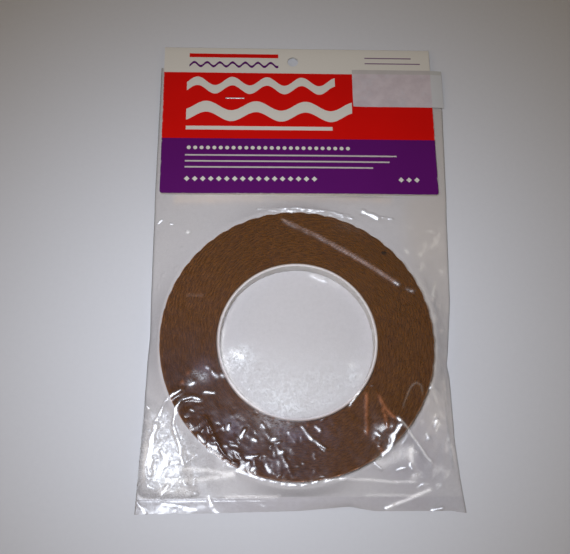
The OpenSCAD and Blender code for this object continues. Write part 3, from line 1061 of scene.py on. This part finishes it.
def ridge(x, y, line, width, seed):
    """About one on a fold's crest, falling to nothing across its width and at its two ends."""
    random = np.random.default_rng(seed)
    crest = cut_line(line, FOLD_STEP, random, fewest=2)
    rise = random.uniform(*FOLD_RISE, len(crest))
    rise[[0, -1]] = 0
    chosen = close_to(x, y, crest, 3 * width)
    gap, place = near_line(x[chosen], y[chosen], crest)
    height = np.zeros(x.shape)
    height[chosen] = np.interp(place, np.arange(len(rise)), rise) * hump(gap, 0, width)
    return height


def glint_bowl(x, y):
    """Height of a wide shallow bowl that throws the key lamp's light to the viewpoint."""
    lamp = np.array(KEY_PLACE, float)
    eye = np.array(EYE_PLACE, float)
    middle = eye[:2] + (lamp[:2] - eye[:2]) * eye[2] / (eye[2] + lamp[2])
    bend = (1 / lamp[2] + 1 / eye[2]) / 4
    return bend * ((x - middle[0]) ** 2 + (y - middle[1]) ** 2)


def add_glints(x, y, height):
    """Lays narrow ribbons of the film towards the lamp, and gives the share of each point in them."""
    random = np.random.default_rng(GLINT_SEED)
    height = height.copy()
    caught = np.zeros(x.shape)
    for half, steady, lines in GLINTS:
        for line in lines:
            crest = cut_line(line, FOLD_STEP if steady else GLINT_STEP, random)
            lay_ribbon(x, y, height, caught, crest, half, 1, random, steady)
    for low, high, count, dim, bright in CREASED_AREAS:
        for line in short_lines(low, high, count, CREASE_LEN, random):
            half = random.uniform(*CREASE_HALF)
            most = dim + (bright - dim) * random.uniform(0, 1) ** 2.5
            lay_ribbon(x, y, height, caught, cut_line(line, GLINT_STEP, random), half, most, random)
    return height, caught


def short_lines(low, high, count, longest, random):
    """Short bent lines at random places of a part of the film."""
    lines = []
    for start in random.uniform(low, high, (count, 2)):
        turn = random.uniform(0, math.pi)
        end = start + random.uniform(STROKE_LEAST, longest) * np.array((math.cos(turn), math.sin(turn)))
        lines.append((start, (start + end) / 2 + random.normal(0, STROKE_BOW, 2), end))
    return lines


def lay_ribbon(x, y, height, caught, crest, half, most, random, steady=False):
    """Lays a ribbon along a line in steps, each with the bowl's slope and on the film's own level.

    A steady ribbon has no steps: all of it lies in one bowl.
    """
    level = [height.flat[np.argmin((x - px) ** 2 + (y - py) ** 2)] for px, py in crest]
    level = np.array(level) - glint_bowl(*crest.T)
    ahead = np.diff(crest, axis=0)
    aside = np.stack([-ahead[:, 1], ahead[:, 0]], 1) / np.hypot(*ahead.T)[:, None] * half
    middle = (crest[1:] + crest[:-1]) / 2
    lift = np.abs(glint_bowl(*(middle + aside).T) - glint_bowl(*(middle - aside).T)) / 2
    lift = GLINT_LIFT * (lift + np.abs(np.diff(level)) / 2)
    level = (level[1:] + level[:-1]) / 2 + lift + random.uniform(-GLINT_STRAY, GLINT_STRAY, len(lift))
    if steady:
        level[:] = level.mean()
    chosen = close_to(x, y, crest, 3 * half)
    px = x[chosen]
    py = y[chosen]
    gap, place = near_line(px, py, crest)
    steps = np.arange(len(lift))
    knots = np.stack([steps + GLINT_EASE, steps + 1 - GLINT_EASE], 1).reshape(-1)
    laid = glint_bowl(px, py) + np.interp(place, knots, np.repeat(level, 2))
    breadth = half * random.uniform(*GLINT_BREADTH, len(crest))
    bright = most * random.uniform(*GLINT_LIGHT, len(crest))
    corners = np.arange(len(crest))
    share = gap / np.interp(place, corners, breadth)
    height[chosen] += np.exp(-share ** 6) * (laid - height[chosen])
    caught[chosen] = np.maximum(caught[chosen], np.exp(-share ** 2) * np.interp(place, corners, bright))


def edge_gap(y, side):
    """Distance from the bag's nearest welded or folded edge, rounded in its corners."""
    edges = np.stack([side, y - SEAL_Y + 0.4, NECK_Y + 0.5 - y])
    gap = -np.log(np.exp(-np.maximum(edges, 0) / CORNER_BEND).sum(0)) * CORNER_BEND
    return np.maximum(np.minimum(gap, edges.min(0)), 0)


def front_mouth(x, y):
    """Level of the front film in the card: the sprung front leaf lifts it, less towards its sides."""
    lift = MOUTH_LIFT * card_spring(x, y) * np.clip(1 - ((x - MOUTH_X) / MOUTH_HALF) ** 2, 0, 1)
    return MOUTH_Z + MOUTH_GAP + lift


def rim_height(x, y, side):
    """The film stretched from the roll's rim down to the bag's edges, with nothing crumpled yet."""
    reach = np.hypot(x, y)
    far_puff = FAR_PUFF * hump(x, 8, 34) * smooth_step(y, 30, 60)
    foot_puff = FOOT_PUFF * hump(x, -4, 28) * smooth_step(-y, 40, 60)
    out = np.clip(reach - RIM_R - far_puff - foot_puff, 0, None)
    share = out / (out + edge_gap(y, side) + 1e-6)
    steepness = 1.15 + 0.9 * near(x, y, SLACK_PLACE, 22) - 0.6 * near(x, y, (36, 72), 20)
    low = FRONT_LOW + (front_mouth(x, y) - FRONT_LOW) * smooth_step(y, 60, NECK_Y)
    sag = CORE_SAG * np.clip(1 - (reach / BORE_R) ** 2, 0, 1)
    billow = RIM_BILLOW * hump(reach, 66, 9) * near(x, y, RIM_CREASES, 26)
    return low + (FILM_TOP - low) * (1 - share) ** steepness - sag + billow


def corner_height(x, y, side):
    """The slack film that stands up as a low cushion in the lower left corner."""
    pillow = np.sqrt(1 - (1 - np.clip(edge_gap(y, side) / 5, 0, 1)) ** 2)
    return SLACK_RISE * pillow * smooth_step(-x, 44, 56) * smooth_step(-y, 20, 36)


def blurred(height, passes):
    """Rounds the film's sharp bends a little."""
    for _ in range(passes):
        wide = np.pad(height, 1, mode="edge")
        height = (wide[:-2, 1:-1] + wide[2:, 1:-1] + wide[1:-1, :-2] + wide[1:-1, 2:] + 2 * height) / 6
    return height


def slack_corner(x, y):
    return near(x, y, SLACK_PLACE, 20)


def slack_foot(x, y):
    """How slack the film is over the lower part of the roll: most at the left."""
    return smooth_step(-y, 20, 50) * (1 - 0.65 * smooth_step(x, -8, 26))


def slack_rim(x, y):
    """The roll's lower left rim, where the film is pulled into small creases."""
    return hump(np.hypot(x, y), 63, 5) * near(x, y, RIM_CREASES, 24)


def large_facets(x, y):
    return 0.32 * slack_corner(x, y) + 0.4 * near(x, y, (54, -54), 15) + 0.06 * slack_foot(x, y) + 0.06


def small_facets(x, y):
    strip = smooth_step(x, 66, 70) * smooth_step(40 - y, 0, 40)
    right = near(x, y, (50, -52), 14)
    corner = 0.20 * slack_corner(x, y) + 0.12 * slack_rim(x, y)
    return corner + 0.06 * slack_foot(x, y) + 0.28 * right + 0.12 * strip + 0.025


def fine_facets(x, y):
    strip = smooth_step(x, 64, 70) * smooth_step(60 - y, 0, 40)
    right = near(x, y, (50, -52), 14)
    corner = 0.07 * slack_corner(x, y) + 0.10 * slack_rim(x, y)
    return corner + 0.045 * slack_foot(x, y) + 0.10 * right + 0.03 * strip + 0.004


def back_facets(x, y):
    return 0.9 * near(x, y, (-64, -60), 20) + 0.5 * near(x, y, (52, -58), 16) + 0.06


def crumples(x, y):
    """Slack of the front film: small sharp facets low on the pack, large ones in its lower corners."""
    layers = ((7.5, large_facets, 8), (3.1, small_facets, 3), (1.8, fine_facets, 5))
    height = sum(facets(x, y, size, amount, seed) for size, amount, seed in layers)
    return (height + 0.5 * small_facets(x, y)) * smooth_step(NECK_Y - y, 0, 14)


def close_to_fold(height, side, level):
    """Turns a film's edge down to the level where the two films meet."""
    share = np.clip(1 - side / SIDE_BEND, 0, 1)
    return level + (height - level) * np.sqrt(1 - share ** 2)


def weld(y):
    """The two raised lines of the weld across the foot."""
    return WELD_RISE * (hump(y, SEAL_Y - 0.5, WELD_W) + hump(y, SEAL_Y - 1.5, WELD_W))


def skirt_curl(x, down):
    """The loose skirt under the weld lifts off the table right of its middle."""
    return CURL_RISE * hump(x, 20, 14) * down ** 2 + SKIRT_RISE * down


def back_height(x, y, down):
    """The film under the roll: flat on the table, with some crumpling in the lower corners."""
    bumps = facets(x, y, 6.5, back_facets, 11) + 0.35 * back_facets(x, y)
    height = BACK_LOW + np.clip(bumps, 0, None) * smooth_step(NECK_Y - y, 0, 14)
    height = np.where(np.hypot(x, y) < ROLL_R + 2, np.minimum(height, BACK_UNDER_ROLL), height)
    neck = smooth_step(y, 66, NECK_Y)
    height = height * (1 - neck) + (MOUTH_Z - MOUTH_GAP) * neck
    return np.where(down > 0, SKIRT_BACK, height) + skirt_curl(x, down)


def front_height(x, y, side, down, back):
    """The film over the roll, with its folds and crumples, and the share of each point in the glints."""
    reach = np.hypot(x, y)
    tent = TENT_RISE * near(x, y, TENT_PLACE, TENT_REACH) * smooth_step(ROLL_R + 4 - reach, 0, 5)
    height = higher(blurred(rim_height(x, y, side), 3) + tent, corner_height(x, y, side), 0.8)
    rough = crumples(x, y)
    height = height + rough * smooth_step(side, 0.3, 4)
    loose = 0.9 * (rough + 0.15) * smooth_step(down, 0, 0.5)
    height = np.where(down > 0, SKIRT_FRONT + skirt_curl(x, down) + loose, height)
    for rise, width, _, *line in FOLDS + COPPER_FOLDS:
        seed = len(line) + round(10 * line[0][0]) % 97
        height = height + rise * ridge(x, y, line, width, seed)
    height, caught = add_glints(x, y, height + weld(y))
    neck = smooth_step(y, NECK_Y - 1.5, CARD_Y)
    height = height * (1 - neck) + front_mouth(x, y) * neck
    height = np.where(reach < ROLL_R + 0.35, np.maximum(height, ROLL_TOP + 0.1), height)
    return np.maximum(height, back + FILMS_APART), caught


def keep_shares(piece, shares):
    """Keeps a number for each point of a film, for its material to read."""
    for name, values in shares.items():
        kept = piece.data.attributes.new(name, "FLOAT", "POINT")
        kept.data.foreach_set("value", values.astype(np.float32).reshape(-1))


def lines_share(x, y, lines, seed):
    """How far each point lies on some lines, given as width, share and line."""
    return sum(share * ridge(x, y, line, width, seed) for width, share, *line in lines)


def spots_share(x, y, spots):
    return sum(amount * near(x, y, middle, reach) for middle, reach, amount in spots)


def worn_strokes():
    """Soft whitened strokes at random places of the film's worn parts."""
    random = np.random.default_rng(WORN_SEED)
    strokes = []
    for low, high, count, most in WORN_AREAS:
        for line in short_lines(low, high, count, WORN_LEN, random):
            strokes.append((random.uniform(*WORN_W), random.uniform(*WORN_SHARE) * most, *line))
    return strokes


def film_shares(x, y, side, down, caught):
    """Numbers from 0 up for each point of the film, for its material's grey, haze, milk and shine."""
    reach = np.hypot(x, y)
    beside = smooth_step(reach - ROLL_R, -0.5, 3)
    on_tape = smooth_step(ROLL_R - reach, -0.5, 3) * smooth_step(reach, 37, 40)
    in_core = smooth_step(BORE_R - reach, 0, 4)
    skirt = smooth_step(down, 0, 0.15)
    left = smooth_step(-x, 15, 45) * smooth_step(-y, -25, 25)
    # The film is darker and hazier over the lower and left parts of the tape
    lower_and_left_tape = np.maximum(slack_foot(x, y), 0.45 * left) * on_tape
    strip = 0.3 * smooth_step(x, 58, 66) * smooth_step(50 - y, 0, 20) * beside
    corners = (0.12 * slack_corner(x, y) + 0.25 * near(x, y, (54, -50), 16)) * beside
    dull_corner = (0.05 + 0.3 * near(x, y, (56, -56), 17)) * beside
    milky_corner = 1.9 * near(x, y, (-65, -57), 26) * beside
    milky_core = in_core * (0.1 + 0.6 * smooth_step(-y, -5, 30))
    # Painted shade: the film over the bore's upper part is tinted darker
    painted_shade_core = 0.06 * in_core * smooth_step(y, -25, 8)
    white_skirt = 0.16 * skirt * smooth_step(-x, 25, 50)
    folded = lines_share(x, y, [row[1:] for row in FOLDS], 1)
    shares = {
        # fold: painted shade along the side folds and the dark creases
        "fold": np.exp(-side / 0.35) + lines_share(x, y, DARK_CREASES, 3),
        "dull": 0.14 * skirt + 0.9 * lower_and_left_tape + 0.55 * left * on_tape + painted_shade_core + dull_corner,
        "hazy": 0.6 * lower_and_left_tape + spots_share(x, y, HAZY_SPOTS) * on_tape,
        "milk": milky_corner + milky_core + spots_share(x, y, MILKY_SPOTS) + strip,
        "white": corners + strip + folded + 0.9 * caught + white_skirt,
        # White marks: bends whitened by stress, worn strokes and painted highlights where the film catches
        # light
        "stress_and_highlight": lines_share(x, y, WHITENED_AND_HIGHLIGHTS, 2) + lines_share(x, y, worn_strokes(), 5) * beside,
        # warm: where folds carry the painted reflection of the copper
        "warm": lines_share(x, y, [row[1:] for row in COPPER_FOLDS], 1),
    }
    for name in ("fold", "dull", "white", "stress_and_highlight", "warm"):
        shares[name] = np.clip(shares[name], 0, 1)
    return shares


def bag_films():
    """The bag's two films, from the foot to the mouth under the card."""
    x, y, side, down = film_grid()
    back = back_height(x, y, down)
    front, caught = front_height(x, y, side, down, back)
    meet = np.where(y > NECK_Y, MOUTH_Z, back + FILMS_APART / 2)
    shares = film_shares(x, y, side, down, caught)
    back_shares = {name: shares[name] * (name in ("fold", "dull", "hazy")) for name in shares}
    front_nodes = ("bag_front_film", "bag_foot_seal", "bag_neck")
    pieces = []
    for name, z, haze, shine, kept, nodes in (
        ("bag_front_sheet", front, 0.010, 0.010, shares, front_nodes),
        ("bag_back_sheet", back, 0.008, 0.002, back_shares, ("bag_back_film",)),
    ):
        points = np.stack([x, y, close_to_fold(z, side, meet)], 2)
        piece = make_piece(name, points, grid_faces(*x.shape), [clear_film(name + "_film", haze, shine)])
        keep_shares(piece, kept)
        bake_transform(piece)
        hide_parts(*nodes)
        pieces.append(piece)
    return pieces


# Header

def spread(low, high, fixed):
    """Grid lines from low to high at about one step, which pass through the fixed places."""
    stops = [low, *sorted(fixed), high]
    lines = []
    for a, b in zip(stops[:-1], stops[1:]):
        count = max(1, round((b - a) / CARD_STEP))
        lines += [a + (b - a) * k / count for k in range(count)]
    return lines + [high]


def card_sheet():
    """The unfolded card as points and faces: x across, and the distance from the front's lower edge."""
    hang = HANG_Y - CARD_Y
    holes = (hang, SHEET_LEN - hang)
    block = [k * HOLE_BLOCK / 2 for k in (-2, -1, 0, 1, 2)]
    corner = [CORNER_R * k / 4 for k in (1, 2, 3, 4)]
    across = [CARD_LEFT + c for c in corner] + [CARD_RIGHT - c for c in corner] + block
    ahead = corner + [SHEET_LEN - c for c in corner] + [hole + b for hole in holes for b in block]
    ahead += [LEAF + math.pi * FOLD_R * k / 8 for k in range(9)]
    xs = spread(CARD_LEFT, CARD_RIGHT, across)
    ss = spread(0, SHEET_LEN, ahead)
    points = [card_corner(x, s) for s in ss for x in xs]
    faces = []
    for quad in grid_faces(len(ss), len(xs)):
        x, s = np.mean([points[k] for k in quad], 0)
        if abs(x) > HOLE_BLOCK or all(abs(s - hole) > HOLE_BLOCK for hole in holes):
            faces.append(quad)
    for hole in holes:
        add_hole(points, faces, hole, xs, ss)
    return points, faces


def card_corner(x, s):
    """Rounds the sheet's four corners: each square corner cell becomes a quarter disc."""
    left = x < 0
    low = s < SHEET_LEN / 2
    u = 1 - (x - CARD_LEFT if left else CARD_RIGHT - x) / CORNER_R
    v = 1 - (s if low else SHEET_LEN - s) / CORNER_R
    if u <= 0 or v <= 0:
        return x, s
    pull = max(u, v) / math.hypot(u, v)
    new_x = CORNER_R * (1 - u * pull)
    new_s = CORNER_R * (1 - v * pull)
    return (CARD_LEFT + new_x if left else CARD_RIGHT - new_x, new_s if low else SHEET_LEN - new_s)


def add_hole(points, faces, middle, xs, ss):
    """Joins the edge of one square block of the grid to a round hole in its middle."""
    columns = [i for i, x in enumerate(xs) if abs(x) < HOLE_BLOCK + 0.01]
    rows = [j for j, s in enumerate(ss) if abs(s - middle) < HOLE_BLOCK + 0.01]
    loop = [(i, rows[0]) for i in columns[:-1]] + [(columns[-1], j) for j in rows[:-1]]
    loop += [(i, rows[-1]) for i in columns[:0:-1]] + [(columns[0], j) for j in rows[:0:-1]]
    rings = [[j * len(xs) + i for i, j in loop]]
    for share in (0.5, 1):
        rings.append(range(len(points), len(points) + len(loop)))
        for i, j in loop:
            x = xs[i]
            s = ss[j] - middle
            scale = 1 + (HANG_R / math.hypot(x, s) - 1) * share
            points.append((x * scale, middle + s * scale))
    for outer, inner in zip(rings[:-1], rings[1:]):
        faces += [(outer[k - 1], outer[k], inner[k], inner[k - 1]) for k in range(len(loop))]


def card_spring(x, y):
    """The front leaf springs up a little towards its free lower edge, most near its middle."""
    free = np.clip((STAPLE_Y - y) / (STAPLE_Y - CARD_Y), 0, 1)
    return free ** 2 * (SPRING_RISE + SPRING_SWAY * np.cos((x - SPRING_X) / SPRING_LEN))


def fold_card(x, s, offset):
    """Folds the sheet over the bag's mouth. offset moves a point off the card's middle."""
    start = s - LEAF
    tilt = min(max(start / FOLD_R, 0), math.pi)
    straight = min(start, 0) - max(start - math.pi * FOLD_R, 0)
    y = CARD_Y + LEAF + straight + (FOLD_R + offset) * math.sin(tilt)
    z = MOUTH_Z + (FOLD_R + offset) * math.cos(tilt)
    return x, y, z + (card_spring(x, y) if tilt < math.pi / 2 else 0)


def header_card(face, plain):
    """The folded card as one closed skin: printed front, plain back, insides and cut edges."""
    flat, faces = card_sheet()
    points = [fold_card(x, s, side * CARD_T / 2) for side in (1, -1) for x, s in flat]
    skin = closed_skin(faces, len(flat))
    kinds = [0 if sum(flat[k][1] for k in f) / len(f) < LEAF + FOLD_R else 1 for f in faces]
    kinds += [1] * (len(skin) - len(faces))
    return make_piece("folded_card", points, skin, [face, plain], kinds, sharp=40)


def staple_path():
    """Middle of the staple's wire: clinched leg, leg, crown, leg, clinched leg, with round bends."""
    half = CROWN_W / 2 - WIRE_T / 2
    foot_z = WIRE_T / 2
    left = [(CLINCH - half - WIRE_T / 2, foot_z + TOE_LIFT), (-half, foot_z), (-half, FACE_Z + WIRE_T / 2)]
    right = [(-x, z) for x, z in reversed(left)]
    corners = [Vector(corner) for corner in left + right]
    path = [corners[0]]
    for before, here, after in zip(corners[:-2], corners[1:-1], corners[2:]):
        start = here - (here - before).normalized() * WIRE_BEND
        end = here + (after - here).normalized() * WIRE_BEND
        for k in range(5):
            t = k / 4
            path.append((1 - t) ** 2 * start + 2 * t * (1 - t) * here + t ** 2 * end)
    return path + [corners[-1]]


def staple(material):
    """A bent flat wire with rounded corners to its section and chisel ends."""
    section = []
    for sx, sy in ((1, 1), (-1, 1), (-1, -1), (1, -1)):
        for k in range(3):
            a = math.atan2(sy, sx) + (k - 1) * math.pi / 4
            off = sx * (WIRE_T / 2 - WIRE_ROUND) + WIRE_ROUND * math.cos(a)
            section.append((off, sy * (WIRE_W / 2 - WIRE_ROUND) + WIRE_ROUND * math.sin(a)))
    path = staple_path()
    last = len(path) - 1
    points = []
    for k, here in enumerate(path):
        ahead = (path[min(k + 1, last)] - path[max(k - 1, 0)]).normalized()
        normal = Vector((-ahead.y, ahead.x))
        narrow = CHISEL_SHARE if k in (0, last) else 1
        for off, wide in section:
            spot = here + normal * off * narrow
            points.append((STAPLE_X + spot.x, STAPLE_Y + wide, spot.y))
    sides = len(section)
    ends = [tuple(range(sides - 1, -1, -1)), tuple(range(sides * last, sides * len(path)))]
    return make_piece("wire_staple", points, ring_faces(len(path), sides) + ends, [material], sharp=50)


def sticker(material):
    """A thin, wavy label with one lifted corner. It lies on the card, and its free end hangs a little."""
    left, right, low, high = STICKER
    columns, rows = STICKER_GRID
    x, y = np.meshgrid(np.linspace(left, right, columns), np.linspace(low, high, rows))
    over = np.maximum(x - CARD_RIGHT, 0)
    mean_z, least_z = STICKER_Z
    waves = STICKER_WAVE * np.sin(x / 4.1 + y / 7) * np.sin(y / 3.3)
    lift = mean_z + card_spring(x, y) + waves - STICKER_HANG * over ** 2
    lift = np.where(over > 0, lift, np.maximum(lift, least_z))
    curl = STICKER_CURL * np.maximum(1 - np.hypot(x - left, y - low) / CURL_REACH, 0) ** 2
    under = np.stack([x, y - 0.03 * over, FACE_Z + lift + curl], 2).reshape(-1, 3)
    points = np.concatenate([under + (0, 0, STICKER_T), under])
    skin = closed_skin(grid_faces(rows, columns), len(under))
    return make_piece("blank_label", points, skin, [material], sharp=50)


def build_header():
    dress(header_card(printed_card(), plain_card()), "header", "header_card")
    dress(staple(staple_steel()), "header", "card_staple")
    dress(sticker(sticker_paper()), "header", "blank_sticker")


# Stage

def area_lamp(name, place, target, size, level, colour, spread):
    """A soft lamp that lights a level surface at its target to a share of full light."""
    ray = (Vector(target) - Vector(place)) * MM
    half = math.radians(spread / 2)
    gathered = math.tan(half) / (math.tan(half) - half) if spread < 180 else 1
    data = bpy.data.lights.new(name, "AREA")
    data.shape = "DISK"
    data.size = size * MM
    data.color = colour
    data.spread = 2 * half
    data.energy = level * math.pi ** 2 * ray.length ** 3 / -ray.z / gathered
    lamp = add_object(name, data)
    lamp.location = Vector(place) * MM
    lamp.rotation_euler = ray.to_track_quat("-Z", "Y").to_euler()


def set_light():
    """A small soft lamp by the camera, low warm fills at both sides and a faint even light."""
    for lamp in LAMPS:
        area_lamp(*lamp)
    world = bpy.data.worlds.new("soft_room")
    bpy.context.scene.world = world
    paint = Paint(world, "ShaderNodeOutputWorld")
    room = paint.shader("Background", Color=ROOM_LIGHT, Strength=ROOM_LEVEL)
    backdrop = paint.shader("Background", Color=BACKDROP)
    paint.done(paint.blend(seen(paint), room, backdrop))


def set_floor():
    """A wide plain table just under the pack."""
    sides = ((-1, -1), (1, -1), (1, 1), (-1, 1))
    points = [(FLOOR_HALF * x, FLOOR_HALF * y, FLOOR_Z) for x, y in sides]
    floor = make_piece("table", points, [(0, 1, 2, 3)], [table_top()])


def set_camera():
    """The photograph's viewpoint: above the bag's foot, tipped towards the card."""
    data = bpy.data.cameras.new("camera")
    data.sensor_fit = "HORIZONTAL"
    data.sensor_width = SENSOR_W
    data.lens = LENS
    data.clip_start = 0.01
    place = Matrix.Translation(Vector(EYE_PLACE) * MM)
    for degrees, axis in EYE_TURNS:
        place = place @ Matrix.Rotation(math.radians(degrees), 4, axis)
    camera = add_object("camera", data)
    camera.matrix_world = place
    bpy.context.scene.camera = camera


set_camera()
set_floor()
set_light()
build_roll()
build_header()
front_sheet, back_sheet = bag_films()
bpy.context.scene.view_settings.view_transform = "Standard"
